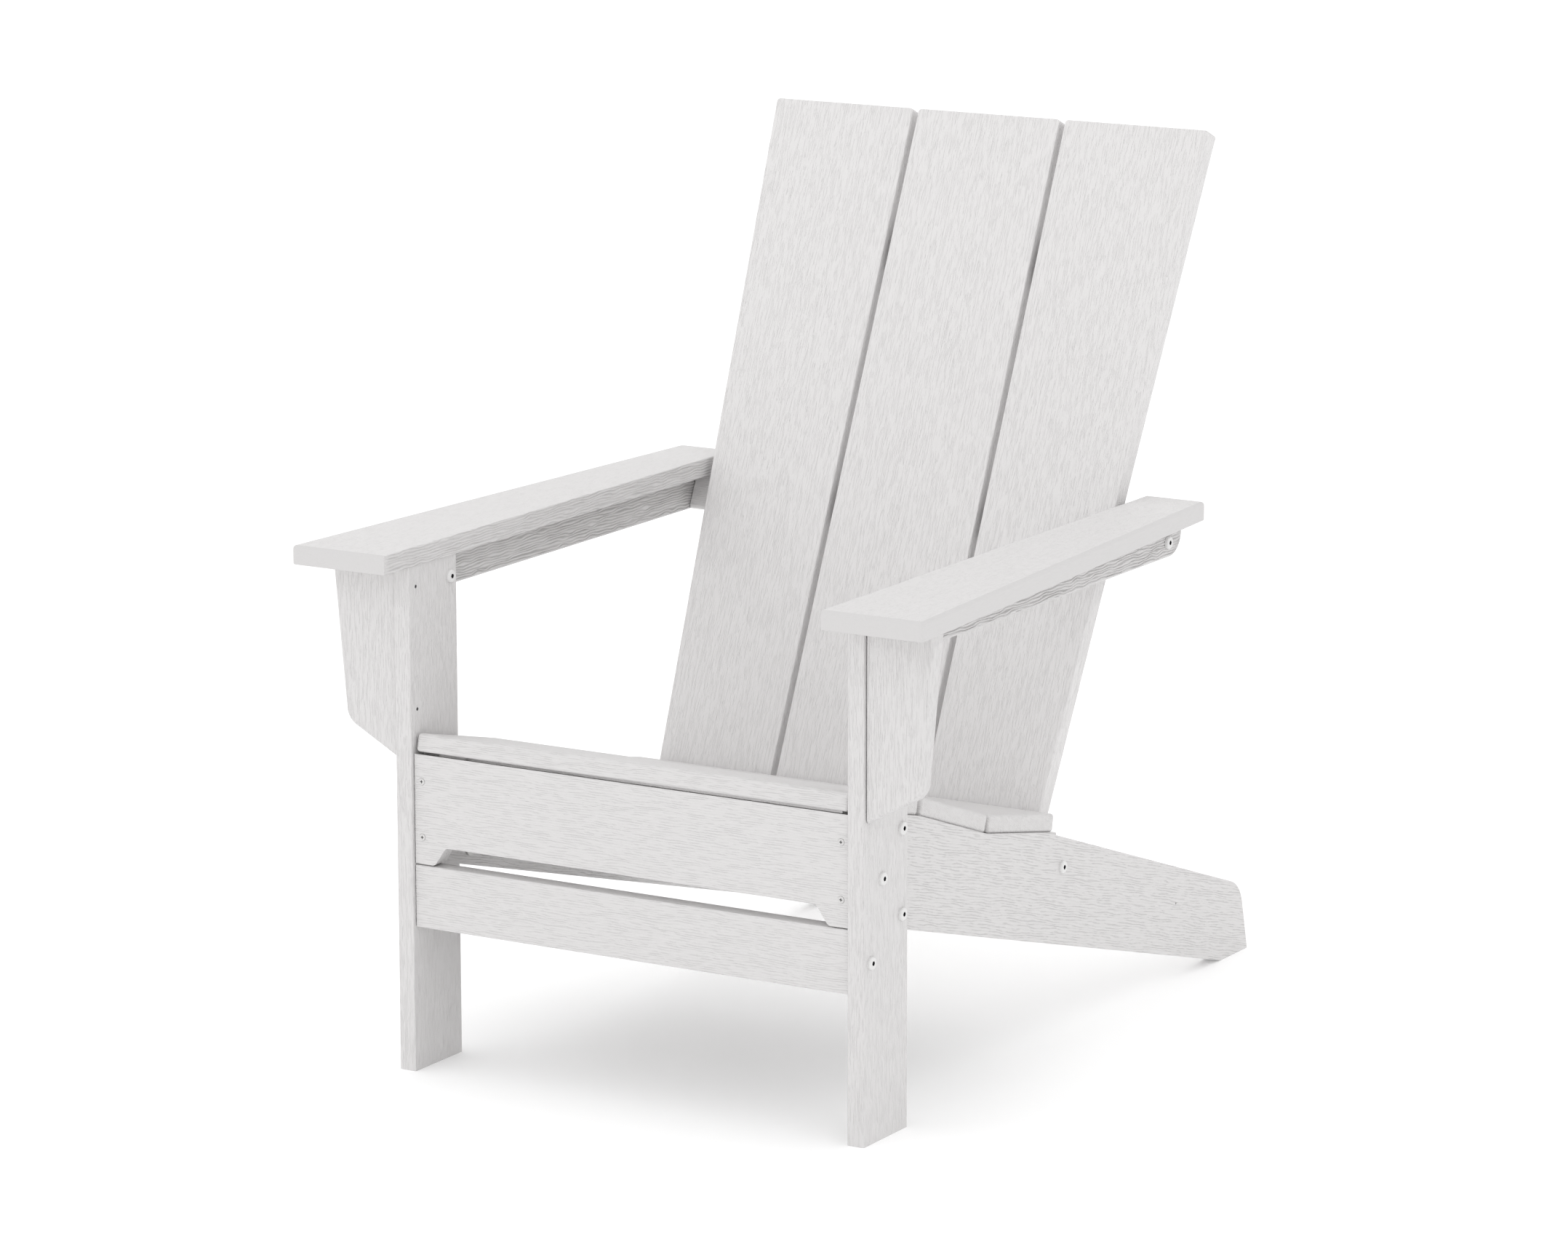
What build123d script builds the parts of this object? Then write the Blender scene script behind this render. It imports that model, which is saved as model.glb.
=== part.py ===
from build123d import *
from math import cos, radians, sin, tan
import os

os.makedirs("parts", exist_ok=True)

# Adirondack chair made of recycled plastic boards, bolted and screwed together.
# Millimetres, +Z up, the sitter faces -Y, the origin is on the floor under the middle of the chair.

# ---- Stock ----
board = 19.5                 # thickness of every flat board
arm_board = 20.5             # thickness of the arm boards
arris = 1.5                  # radius of a planed long edge
bullnose = 4.0               # radius of a rounded, worked edge

# ---- Front legs ----
leg_clear_width = 529.0      # between the inner faces of the two legs
leg_width = 89.0
leg_height = 544.3

# ---- Arms, arm rails and arm brackets ----
arm_front_overhang = 48.4    # arm past the front edge of the leg
arm_inner_lap = 2.1          # arm's inner edge past the leg's inner face
arm_front_width = 116.9
arm_rear_width = 70.0
arm_corner_radius = 4.2
arm_lower_round = 1.5        # radius of the arm's lower edges
rail_height = 38.5
rail_end_radius = 25.0
bracket_setback = 3.5        # bracket face behind the leg's front edge
bracket_height = 207.0
bracket_top_width = 80.0
bracket_taper = 5.2          # lean of the outer edge, degrees
bracket_slant = 28.6         # rise of the lower edge, degrees
bracket_corner_radius = 22.0
bracket_round = 4.5          # radius of the bracket's worked outer edges
bracket_rebate_width = 1.3   # shadow line between bracket and leg
bracket_rebate_depth = 7.0

# ---- Stringers: side boards from the front leg down to the rear foot ----
stringer_reach = 899.0       # from the leg's front edge to the back of the foot
foot_length = 65.4           # flat sole at the rear
stringer_tail_height = 79.1  # top rear corner, before it is rounded
stringer_tail_step = 3.0     # small step down behind the rear slat
stringer_rear_lean = 13.6    # degrees, the rear end leans in over its toe
stringer_tail_radius = 42.0
stringer_start_gap = 1.0     # stringer's front lower corner above the stretcher
pilot_radius = 1.3           # small locating hole in the outer face of the stringer
pilot_depth = 4.0
pilot_reach = 722.0
pilot_edge_gap = 41.5         # below the stringer's top edge

# ---- Seat: three slats, each with its own slope ----
seat_front_height = 348.8    # line of the slats' undersides at the leg's front edge
seat_setback = 4.4           # front edge of the front slat behind the leg's front edge
slat_width = 146.0
slat_slope_front = 13.4      # degrees, down to the rear
slat_slope_middle = 19.2
slat_slope_rear = 11.5
slat_gap = 6.0
slat_round = 3.5             # radius of every edge of a slat
slat_end_gap = 2.6           # slat end to leg

# ---- Front apron and stretcher ----
apron_setback = 4.3
apron_top_gap = 3.0
apron_foot_gap = 1.5         # apron's feet above the stretcher
notch_height = 20.5          # top of the notch above the apron's feet
notch_inset_top = 38.0       # from the apron's ends
notch_inset_bottom = 24.0
notch_radius = 6.0
stretcher_setback = 4.3
stretcher_height = 67.8
stretcher_bottom = 157.3

# ---- Back ----
back_lean = 24.0             # degrees from vertical
back_seat_gap = -0.32         # front face of the back behind the seat line's rear end
back_top_height = 950.0      # top front edge
back_bottom_height = 152.0
middle_board_width = 178.5
back_gap = 7.0
back_side_gap = 10.0         # back's lower corners to the stringers
back_flare = 38.0            # widening of each side from bottom to top
back_corner_radius = 4.0
lower_rail_width = 57.0
lower_rail_height = 196.0    # height of the middle of its front face
batten_width = 45.0
batten_drop = 146.0          # middle of the batten below the back's top
batten_end_inset = 37.0      # from the back's top corners
beam_top_depth = 41.4        # crossbeam's top, from the back boards to its rear face
beam_end_inset = 5.0         # rear face of the crossbeam, ahead of the arm's rear end
joint_gap = 1.0              # shoulder clearance at the ends of cross members

# ---- Fasteners ----
bolt_head_radius = 7.0
bolt_head_height = 3.4
bolt_radius = 3.2
bolt_socket_width = 5.0
bolt_socket_depth = 2.4
cap_nut_radius = 6.5
cap_nut_height = 3.0
barrel_radius = 5.0
barrel_length = 14.0
barrel_inset = 32.0          # barrel nut's axis from the end of its board
screw_head_radius = 3.9
screw_head_height = 2.2
screw_radius = 2.0
screw_proud = 0.6            # head above the surface
cross_width = 1.1
cross_length = 4.4
cross_depth = 1.2
bracket_screw_radius = 1.3
bracket_screw_head_radius = 2.0
bracket_screw_length = 42.0
apron_screw_length = 45.0
bolt_rows = ((76.5, 30.3), (36.5, 74.3), (76.5, 120.3))   # reach, and drop from the seat's front height
apron_screw_drops = (93.2, 33.2)
bracket_screw_drops = (153.3, 22.3)     # below the leg's top
bracket_screw_inset = 9.0    # from the bracket's front face
rail_bolt_reach = 76.5
rail_bolt_drop = 22.3        # below the leg's top
beam_bolt_inset = 25.9       # from the crossbeam's rear face
slat_screw_tilt = 15.0       # degrees, pocket screws up through the stringer's inner face
slat_screw_drop = 34.0
slat_screw_length = 46.0
slat_screw_inset = 32.0      # from the slat's long edges
arm_screw_reaches = (140.0, 350.0, 560.0)
arm_screw_sink = 10.0
arm_screw_bite = 14.0
back_screw_inset = 30.0       # from a board's inner edge to its first screw
back_screw_spacing = 60.0     # between the two screws of an outer board
back_screw_bite = 12.0
beam_screw_depth = 26.0       # wood of the crossbeam left under a screw head
beam_screw_access = 52.0      # length of the counterbore behind it

# ---- Places worked out from the sizes ----
leg_front = (arm_front_overhang - stringer_reach) / 2
leg_inner = leg_clear_width / 2
leg_outer = leg_inner + board
stringer_inner = leg_inner - board
stringer_middle = leg_inner - board / 2
slat_half_length = leg_inner - slat_end_gap
apron_half_length = leg_inner - joint_gap
apron_face = leg_front + apron_setback
apron_back = apron_face + board
rail_outer = leg_outer + board
rail_middle = leg_outer + board / 2
rail_front = leg_front + bracket_setback + board
rail_bottom = leg_height - rail_height
rail_bolt_height = leg_height - rail_bolt_drop
arm_front = leg_front - arm_front_overhang
arm_inner_half_gap = leg_inner - arm_inner_lap
arm_half_span_front = arm_inner_half_gap + arm_front_width
arm_half_span_rear = arm_inner_half_gap + arm_rear_width
stretcher_top = stretcher_bottom + stretcher_height
apron_foot = stretcher_top + apron_foot_gap
notch_half_width_top = apron_half_length - notch_inset_top
notch_half_width_bottom = apron_half_length - notch_inset_bottom
back_half_width_bottom = stringer_inner - back_side_gap
back_half_width_top = back_half_width_bottom + back_flare
batten_height = back_top_height - batten_drop
batten_half_length = back_half_width_top - batten_end_inset
lean = radians(back_lean)
SIDES = {"left": -1, "right": 1}


# The three slat seats follow each other down the stringer.
slat_slopes = (slat_slope_front, slat_slope_middle, slat_slope_rear)
slat_names = ("seat_slat_front", "seat_slat_middle", "seat_slat_rear")


def seat_profile():
    """Corner points (reach, height) of the seat line and the front lower corner of each slat."""
    reach, height = 0.0, seat_front_height
    corners, starts = [(reach, height)], []
    for slope in slat_slopes:
        angle = radians(slope)
        lead = slat_gap / 2 if starts else seat_setback / cos(angle)
        starts.append((reach + lead * cos(angle), height - lead * sin(angle)))
        run = lead + slat_width + slat_gap / 2
        reach, height = reach + run * cos(angle), height - run * sin(angle)
        corners.append((reach, height))
    return corners, starts


seat_corners, slat_starts = seat_profile()
seat_end_reach, seat_end_height = seat_corners[-1]

# The back stands behind the seat's rear end, and the arms reach just past the crossbeam behind it.
back_start_y = leg_front + seat_end_reach + back_seat_gap
back_origin = (0, back_start_y, seat_end_height)
back_face = Plane(origin=back_origin, x_dir=(1, 0, 0), z_dir=(0, -cos(lean), sin(lean)))
back_rear = back_face.offset(-board)


def along_back(height):
    """Distance up the back's face, from its origin, of a point at this height."""
    return (height - seat_end_height) / cos(lean)


def back_rear_y(height):
    """Y of the back boards' rear face at this height."""
    return back_start_y + (height - seat_end_height) * tan(lean) + board / cos(lean)


beam_rear = back_rear_y(leg_height) + beam_top_depth
arm_rear = beam_rear + beam_end_inset


def slat_plane(index):
    """Plane of a slat's underside, from its front lower edge, its Y axis running down to the rear."""
    angle = radians(slat_slopes[index])
    reach, height = slat_starts[index]
    origin = (0, leg_front + reach, height)
    return Plane(origin=origin, x_dir=(1, 0, 0), z_dir=(0, sin(angle), cos(angle)))


def bar(plane, radius, length, mode=Mode.ADD):
    """Round bar from a plane along its normal, added to the part being built or cut from it."""
    with BuildSketch(plane) as section:
        Circle(radius)
    extrude(section.sketch, amount=length, mode=mode)


def slot_bar(plane, width, length, depth):
    """Cut one slot of a cross recess."""
    with BuildSketch(plane) as section:
        Rectangle(width, length)
    extrude(section.sketch, amount=depth, mode=Mode.SUBTRACT)


def bolt(seat_plane, length):
    """Low button-head bolt: the plane is its bearing face, the normal points into the wood."""
    head_top = seat_plane.offset(-bolt_head_height)
    with BuildPart(mode=Mode.PRIVATE) as piece:
        bar(head_top, bolt_head_radius, bolt_head_height)
        crown = piece.edges().filter_by(GeomType.CIRCLE).sort_by_distance(head_top.origin)[0]
        fillet(crown, bolt_head_height / 2)
        bar(seat_plane, bolt_radius, length)
        with BuildSketch(head_top) as socket:
            RegularPolygon(bolt_socket_width / 2, 6, major_radius=False)
        extrude(socket.sketch, amount=bolt_socket_depth, mode=Mode.SUBTRACT)
    add(piece.part)


def screw(surface, length, head_radius, shank_radius, proud=screw_proud):
    """Cross-recessed screw: the plane is the wood's surface, the normal points into the wood."""
    top = surface.offset(-proud)
    with BuildPart(mode=Mode.PRIVATE) as piece:
        bar(top, head_radius, screw_head_height)
        bar(surface, shank_radius, length)
        slot_bar(top, cross_width, cross_length * head_radius / screw_head_radius, cross_depth)
        slot_bar(top, cross_length * head_radius / screw_head_radius, cross_width, cross_depth)
    add(piece.part)


def screw_hole(surface, length, head_radius, shank_radius, sunk=screw_head_height - screw_proud):
    """Cut the seat and the bore of a screw from the part being built."""
    bar(surface, head_radius, sunk, Mode.SUBTRACT)
    bar(surface, shank_radius, length, Mode.SUBTRACT)


def inward(side, x, y, z):
    """Plane on a side of the chair whose normal points to the middle."""
    return Plane(origin=(side * x, y, z), x_dir=(0, 1, 0), z_dir=(-side, 0, 0))


def outward(side, x, y, z):
    """Plane on a side of the chair whose normal points away from the middle."""
    return Plane(origin=(side * x, y, z), x_dir=(0, 1, 0), z_dir=(side, 0, 0))


def save(builder, name):
    """Label a finished piece and write it."""
    builder.part.label = name
    export_step(builder.part, "parts/" + name + ".step")


# ---- Where each fastener starts, and how far it goes ----
cap_bolt_length = 2 * board
arm_screw_length = rail_height - arm_screw_sink + arm_screw_bite
barrel_bolt_length = board + barrel_inset
stretcher_bolt_y = leg_front + stretcher_setback + board / 2
stretcher_bolt_z = stretcher_bottom + stretcher_height / 2
lower_rail_y = back_rear_y(lower_rail_height) + board * cos(lean) / 2
lower_rail_z = lower_rail_height - board * sin(lean) / 2
beam_bottom = rail_bottom
beam_half_length = leg_outer - joint_gap
rail_half_length = stringer_inner - joint_gap
beam_bolt_y = beam_rear - beam_bolt_inset
beam_bolt_z = rail_bolt_height

# Each group: side plane of the bolt head, its length, and the inner end.
STRINGER_BOLTS = [
    inward(s, leg_outer, leg_front + reach, seat_front_height - drop)
    for s in SIDES.values()
    for reach, drop in bolt_rows
]
STRETCHER_BOLTS = [inward(s, leg_outer, stretcher_bolt_y, stretcher_bolt_z) for s in SIDES.values()]
LOWER_RAIL_BOLTS = [inward(s, leg_inner, lower_rail_y, lower_rail_z) for s in SIDES.values()]
BEAM_BOLTS = [inward(s, rail_outer, beam_bolt_y, beam_bolt_z) for s in SIDES.values()]
RAIL_BOLTS = [outward(s, leg_inner, leg_front + rail_bolt_reach, rail_bolt_height) for s in SIDES.values()]


def barrel_plane(side, end_x, y, z, normal):
    """Plane through the middle of a barrel nut, its axis across the board."""
    centre = Vector(side * (end_x - barrel_inset), y, z)
    start = centre - Vector(*normal) * (barrel_length / 2)
    return Plane(origin=start, x_dir=(1, 0, 0), z_dir=normal)


REARWARD = (0, 1, 0)
BACKWARD = (0, cos(lean), -sin(lean))
STRETCHER_BARRELS = [
    barrel_plane(s, leg_inner, stretcher_bolt_y, stretcher_bolt_z, REARWARD) for s in SIDES.values()
]
LOWER_RAIL_BARRELS = [
    barrel_plane(s, stringer_inner, lower_rail_y, lower_rail_z, BACKWARD) for s in SIDES.values()
]
BEAM_BARRELS = [barrel_plane(s, leg_outer, beam_bolt_y, beam_bolt_z, REARWARD) for s in SIDES.values()]

APRON_SCREWS = [
    Plane(origin=(s * stringer_middle, apron_face, seat_front_height - drop), x_dir=(1, 0, 0), z_dir=REARWARD)
    for s in SIDES.values()
    for drop in apron_screw_drops
]
BRACKET_SCREWS = [
    outward(s, leg_inner, leg_front + bracket_setback + bracket_screw_inset, leg_height - drop)
    for s in SIDES.values()
    for drop in bracket_screw_drops
]
ARM_SCREWS = [
    Plane(origin=(s * rail_middle, leg_front + r, rail_bottom + arm_screw_sink), z_dir=(0, 0, 1))
    for s in SIDES.values()
    for r in arm_screw_reaches
]


def slat_screw_planes():
    """Planes of the pocket screws: on the stringer's inner face, pointing up and out into a slat."""
    tilt = radians(slat_screw_tilt)
    planes = []
    for slope, (reach, height) in zip(slat_slopes, slat_starts):
        angle = radians(slope)
        for step in (slat_screw_inset, slat_width - slat_screw_inset):
            y = leg_front + reach + step * cos(angle)
            z = height - step * sin(angle) - slat_screw_drop
            for side in SIDES.values():
                origin = (side * stringer_inner, y, z)
                upward = (side * sin(tilt), 0, cos(tilt))
                planes.append(Plane(origin=origin, x_dir=(0, 1, 0), z_dir=upward))
    return planes


SLAT_SCREWS = slat_screw_planes()

middle_half = middle_board_width / 2
outer_inner_edge = middle_half + back_gap
back_top = along_back(back_top_height)
back_bottom = along_back(back_bottom_height)
BACK_SCREW_COLUMNS = (
    -outer_inner_edge - back_screw_inset - back_screw_spacing,
    -outer_inner_edge - back_screw_inset,
    -middle_half + back_screw_inset,
    middle_half - back_screw_inset,
    outer_inner_edge + back_screw_inset,
    outer_inner_edge + back_screw_inset + back_screw_spacing,
)


def back_screw_planes(height, depth):
    """Screws from behind into the back boards, their heads this far behind the boards."""
    surface = back_face.offset(-board - depth)
    up = along_back(height)
    return [
        Plane(origin=surface.from_local_coords((x, up, 0)), x_dir=(1, 0, 0), z_dir=surface.z_dir)
        for x in BACK_SCREW_COLUMNS
    ]


beam_screw_height = rail_bottom + rail_height / 2
BACK_SCREWS = back_screw_planes(lower_rail_height, board) + back_screw_planes(batten_height, board)
BEAM_SCREWS = back_screw_planes(beam_screw_height, beam_screw_depth)

# ---- Front legs ----
for name, side in SIDES.items():
    with BuildPart() as leg:
        with BuildSketch(Plane.XY) as footprint:
            with Locations((side * (leg_inner + board / 2), leg_front + leg_width / 2)):
                Rectangle(board, leg_width)
        extrude(amount=leg_height)
        fillet(leg.edges().filter_by(Axis.Z), arris)
        for place in STRINGER_BOLTS + STRETCHER_BOLTS + RAIL_BOLTS:
            bar(place, bolt_radius, board, Mode.SUBTRACT)
        for place in BRACKET_SCREWS:
            screw_hole(place, board, bracket_screw_head_radius, bracket_screw_radius, screw_head_height)
    save(leg, name + "_front_leg")

# ---- Arm brackets ----
bracket_front = leg_front + bracket_setback
bracket_bottom = leg_height - bracket_height
for name, side in SIDES.items():
    lean_in = tan(radians(bracket_taper))
    rise = tan(radians(bracket_slant))
    corner_out = (bracket_top_width - lean_in * bracket_height) / (1 - lean_in * rise)
    with BuildPart() as bracket:
        with BuildSketch(Plane.XZ.offset(-bracket_front)) as outline:
            with BuildLine():
                Polyline(
                    (side * leg_outer, bracket_bottom),
                    (side * (leg_outer + corner_out), bracket_bottom + corner_out * rise),
                    (side * (leg_outer + bracket_top_width), leg_height),
                    (side * leg_outer, leg_height),
                    close=True,
                )
            make_face()
            low_corner = outline.vertices().sort_by(Axis.Y)[1]
            fillet(low_corner, bracket_corner_radius)
        extrude(amount=-board)
        worked_edges = bracket.faces().filter_by(Axis.Y).edges().filter_by(
            lambda edge: abs(edge.center().X) > leg_outer + arris and edge.center().Z < leg_height - arris
        )
        fillet(worked_edges, bracket_round)
        with BuildSketch(Plane.XY.offset(bracket_bottom)) as rebate:
            with Locations((side * leg_outer, bracket_front)):
                Rectangle(2 * bracket_rebate_width, 2 * bracket_rebate_depth)
        extrude(rebate.sketch, amount=bracket_height, mode=Mode.SUBTRACT)
        for place in BRACKET_SCREWS:
            bar(place, bracket_screw_radius, bracket_screw_length, Mode.SUBTRACT)
    save(bracket, name + "_arm_bracket")

# ---- Arm rails ----
for name, side in SIDES.items():
    with BuildPart() as rail:
        with BuildSketch(Plane.YZ.offset(side * leg_outer)) as outline:
            with BuildLine():
                Polyline(
                    (rail_front, rail_bottom),
                    (arm_rear, rail_bottom),
                    (arm_rear, leg_height),
                    (rail_front, leg_height),
                    close=True,
                )
            make_face()
            fillet(outline.vertices().group_by(Axis.Y)[0].sort_by(Axis.X)[-1], rail_end_radius)
        extrude(amount=side * board)
        low_edges = rail.edges().filter_by(Axis.Y).group_by(Axis.Z)[0]
        fillet(low_edges, arris)
        for place in RAIL_BOLTS:
            bar(place, bolt_radius, 2 * board, Mode.SUBTRACT)
            bar(place.offset(2 * board), cap_nut_radius, -cap_nut_height, Mode.SUBTRACT)
        for place in BEAM_BOLTS:
            bar(place, bolt_radius, board, Mode.SUBTRACT)
        for place in ARM_SCREWS:
            bar(place, screw_head_radius, -arm_screw_sink, Mode.SUBTRACT)
            bar(place, screw_radius, arm_screw_length, Mode.SUBTRACT)
    save(rail, name + "_arm_rail")

# ---- Arms ----
for name, side in SIDES.items():
    with BuildPart() as arm:
        with BuildSketch(Plane.XY.offset(leg_height)) as outline:
            with BuildLine():
                Polyline(
                    (side * arm_inner_half_gap, arm_front),
                    (side * arm_half_span_front, arm_front),
                    (side * arm_half_span_rear, arm_rear),
                    (side * arm_inner_half_gap, arm_rear),
                    close=True,
                )
            make_face()
            outer_corners = outline.vertices().filter_by(lambda v: abs(v.X) > arm_inner_half_gap + arris)
            fillet(outer_corners, arm_corner_radius)
        extrude(amount=arm_board)
        top, bottom = arm.faces().sort_by(Axis.Z)[-1], arm.faces().sort_by(Axis.Z)[0]
        for face, radius in ((top, bullnose), (bottom, arm_lower_round)):
            rims = face.edges()
            worked_edges = rims.filter_by(lambda edge: abs(edge.center().X) > arm_inner_half_gap + arris)
            fillet(worked_edges, radius)
        for place in ARM_SCREWS:
            bar(place, screw_radius, arm_screw_length, Mode.SUBTRACT)
    save(arm, name + "_arm")

# ---- Stringers ----
rear_lean = tan(radians(stringer_rear_lean))
stringer_start = apron_setback + board
start_bottom = stretcher_top + stringer_start_gap
start_top = seat_front_height - stringer_start * tan(radians(slat_slope_front))
foot_heel = stringer_reach - foot_length
tail_start_height = seat_end_height - stringer_tail_step
tail_end_reach = stringer_reach - stringer_tail_height * rear_lean
tail_slope = (tail_start_height - stringer_tail_height) / (tail_end_reach - seat_end_reach)
pilot_height = tail_start_height - (pilot_reach - seat_end_reach) * tail_slope - pilot_edge_gap
for name, side in SIDES.items():
    reach_points = [
        (stringer_start, start_bottom),
        (stringer_start, start_top),
        *seat_corners[1:],
        (seat_end_reach, tail_start_height),
        (tail_end_reach, stringer_tail_height),
        (stringer_reach, 0),
        (foot_heel, 0),
    ]
    with BuildPart() as stringer:
        with BuildSketch(Plane.YZ.offset(side * stringer_inner)) as outline:
            with BuildLine():
                Polyline(*[(leg_front + reach, height) for reach, height in reach_points], close=True)
            make_face()
            tail_corner = (leg_front + tail_end_reach, stringer_tail_height)
            fillet(outline.vertices().sort_by_distance(tail_corner)[0], stringer_tail_radius)
        extrude(amount=side * board)
        outer_face = stringer.faces().filter_by(Axis.X).sort_by(Axis.X)[-1 if side > 0 else 0]
        long_edges = outer_face.edges().filter_by(GeomType.LINE).filter_by(
            lambda edge: edge.length > stringer_tail_step + arris
        )
        top_edges = long_edges.filter_by(
            lambda edge: edge.center().Z > seat_end_height - arris and edge.center().Y > leg_front + leg_width
        )
        fillet(top_edges, arris)
        pilot = inward(side, leg_inner, leg_front + pilot_reach, pilot_height)
        bar(pilot, pilot_radius, pilot_depth, Mode.SUBTRACT)
        for place in STRINGER_BOLTS:
            bar(place, bolt_radius, 2 * board, Mode.SUBTRACT)
        for place in LOWER_RAIL_BOLTS:
            bar(place, bolt_radius, board, Mode.SUBTRACT)
        for place in APRON_SCREWS:
            bar(place, screw_radius, apron_screw_length, Mode.SUBTRACT)
        for place in SLAT_SCREWS:
            bar(place, screw_head_radius, screw_head_height, Mode.SUBTRACT)
            bar(place, screw_head_radius, -screw_head_radius, Mode.SUBTRACT)
            bar(place, screw_radius, slat_screw_length, Mode.SUBTRACT)
    save(stringer, name + "_stringer")

# ---- Front apron ----
with BuildPart() as apron:
    with BuildSketch(Plane.XZ.offset(-apron_face)) as outline:
        with BuildLine():
            Polyline(
                (-apron_half_length, apron_foot),
                (-notch_half_width_bottom, apron_foot),
                (-notch_half_width_top, apron_foot + notch_height),
                (notch_half_width_top, apron_foot + notch_height),
                (notch_half_width_bottom, apron_foot),
                (apron_half_length, apron_foot),
                (apron_half_length, seat_front_height),
                (-apron_half_length, seat_front_height),
                close=True,
            )
        make_face()
        fillet(outline.vertices().filter_by(lambda v: abs(v.X) < apron_half_length - arris), notch_radius)
    extrude(amount=-board)
    split(bisect_by=slat_plane(0).offset(-apron_top_gap), keep=Keep.BOTTOM)
    for place in APRON_SCREWS:
        screw_hole(place, board, screw_head_radius, screw_radius)
save(apron, "front_apron")

# ---- Front stretcher ----
stretcher_front = leg_front + stretcher_setback
stretcher_centre = (stretcher_front + board / 2, stretcher_bottom + stretcher_height / 2)
with BuildPart() as stretcher:
    with BuildSketch(Plane.YZ) as section:
        with Locations(stretcher_centre):
            Rectangle(board, stretcher_height)
    extrude(amount=leg_inner - joint_gap, both=True)
    fillet(stretcher.edges().filter_by(Axis.X), arris)
    for place in STRETCHER_BOLTS:
        bar(place, bolt_radius, barrel_bolt_length, Mode.SUBTRACT)
    for place in STRETCHER_BARRELS:
        bar(place, barrel_radius, board, Mode.SUBTRACT)
save(stretcher, "front_stretcher")

# ---- Seat slats ----
for index, name in enumerate(slat_names):
    underside = slat_plane(index)
    with BuildPart() as slat:
        with BuildSketch(underside) as footprint:
            with Locations((0, slat_width / 2)):
                Rectangle(2 * slat_half_length, slat_width)
        extrude(amount=board)
        fillet(slat.edges(), slat_round)
        for place in SLAT_SCREWS:
            bar(place, screw_radius, slat_screw_length, Mode.SUBTRACT)
    save(slat, name)

# ---- Back boards ----
half_bottom = back_half_width_bottom
half_top = back_half_width_top
back_outlines = {
    "left_back_board": ((-half_bottom, -outer_inner_edge), (-half_top, -outer_inner_edge)),
    "middle_back_board": ((-middle_half, middle_half), (-middle_half, middle_half)),
    "right_back_board": ((outer_inner_edge, half_bottom), (outer_inner_edge, half_top)),
}
for name, ((low_a, low_b), (high_a, high_b)) in back_outlines.items():
    with BuildPart() as back_board:
        with BuildSketch(back_face) as outline:
            with BuildLine():
                Polyline(
                    (low_a, back_bottom),
                    (low_b, back_bottom),
                    (high_b, back_top),
                    (high_a, back_top),
                    close=True,
                )
            make_face()
            fillet(outline.vertices().group_by(Axis.Y)[-1], back_corner_radius)
        extrude(amount=-board)
        front_side = back_board.faces().sort_by(Axis(back_origin, back_face.z_dir))[-1]
        fillet(front_side.edges(), arris)
        for place in BACK_SCREWS + BEAM_SCREWS:
            reach = (beam_screw_depth if place in BEAM_SCREWS else board) + back_screw_bite
            bar(place, screw_radius, reach, Mode.SUBTRACT)
    save(back_board, name)

# ---- Upper back batten and lower back rail ----
back_members = {
    "upper_back_batten": (batten_height, batten_width, batten_half_length),
    "lower_back_rail": (lower_rail_height, lower_rail_width, rail_half_length),
}
for name, (height, width, half_length) in back_members.items():
    with BuildPart() as member:
        with BuildSketch(back_rear) as outline:
            with Locations((0, along_back(height))):
                Rectangle(2 * half_length, width)
        extrude(amount=-board)
        fillet(member.edges().filter_by(Axis.X), arris)
        for place in BACK_SCREWS:
            screw_hole(place, board, screw_head_radius, screw_radius)
        for place in LOWER_RAIL_BOLTS:
            bar(place, bolt_radius, barrel_bolt_length, Mode.SUBTRACT)
        for place in LOWER_RAIL_BARRELS:
            bar(place, barrel_radius, board, Mode.SUBTRACT)
    save(member, name)

# ---- Rear crossbeam ----
with BuildPart() as beam:
    with BuildSketch(Plane.YZ) as outline:
        with BuildLine():
            Polyline(
                (back_rear_y(beam_bottom), beam_bottom),
                (beam_rear, beam_bottom),
                (beam_rear, leg_height),
                (back_rear_y(leg_height), leg_height),
                close=True,
            )
        make_face()
    extrude(amount=beam_half_length, both=True)
    low_edges = beam.edges().filter_by(Axis.X).group_by(Axis.Z)[0]
    fillet(low_edges, bullnose)
    for place in BEAM_BOLTS:
        bar(place, bolt_radius, barrel_bolt_length, Mode.SUBTRACT)
    for place in BEAM_BARRELS:
        bar(place, barrel_radius, board + barrel_length, Mode.SUBTRACT)
    for place in BEAM_SCREWS:
        bar(place, screw_radius, beam_screw_depth, Mode.SUBTRACT)
        bar(place, screw_head_radius, -beam_screw_access, Mode.SUBTRACT)
save(beam, "rear_crossbeam")

# ---- Bolts ----
bolt_groups = {
    "stringer_bolts": (STRINGER_BOLTS, cap_bolt_length),
    "arm_rail_bolts": (RAIL_BOLTS, cap_bolt_length - cap_nut_height),
    "stretcher_bolts": (STRETCHER_BOLTS, barrel_bolt_length - barrel_radius),
    "back_rail_bolts": (LOWER_RAIL_BOLTS, barrel_bolt_length - barrel_radius),
    "crossbeam_bolts": (BEAM_BOLTS, barrel_bolt_length - barrel_radius),
}
for name, (places, length) in bolt_groups.items():
    with BuildPart() as bolts:
        for place in places:
            bolt(place, length)
    save(bolts, name)

# ---- Nuts ----
with BuildPart() as stringer_nuts:
    for place in STRINGER_BOLTS:
        bar(place.offset(cap_bolt_length), cap_nut_radius, cap_nut_height)
save(stringer_nuts, "stringer_nuts")

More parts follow.
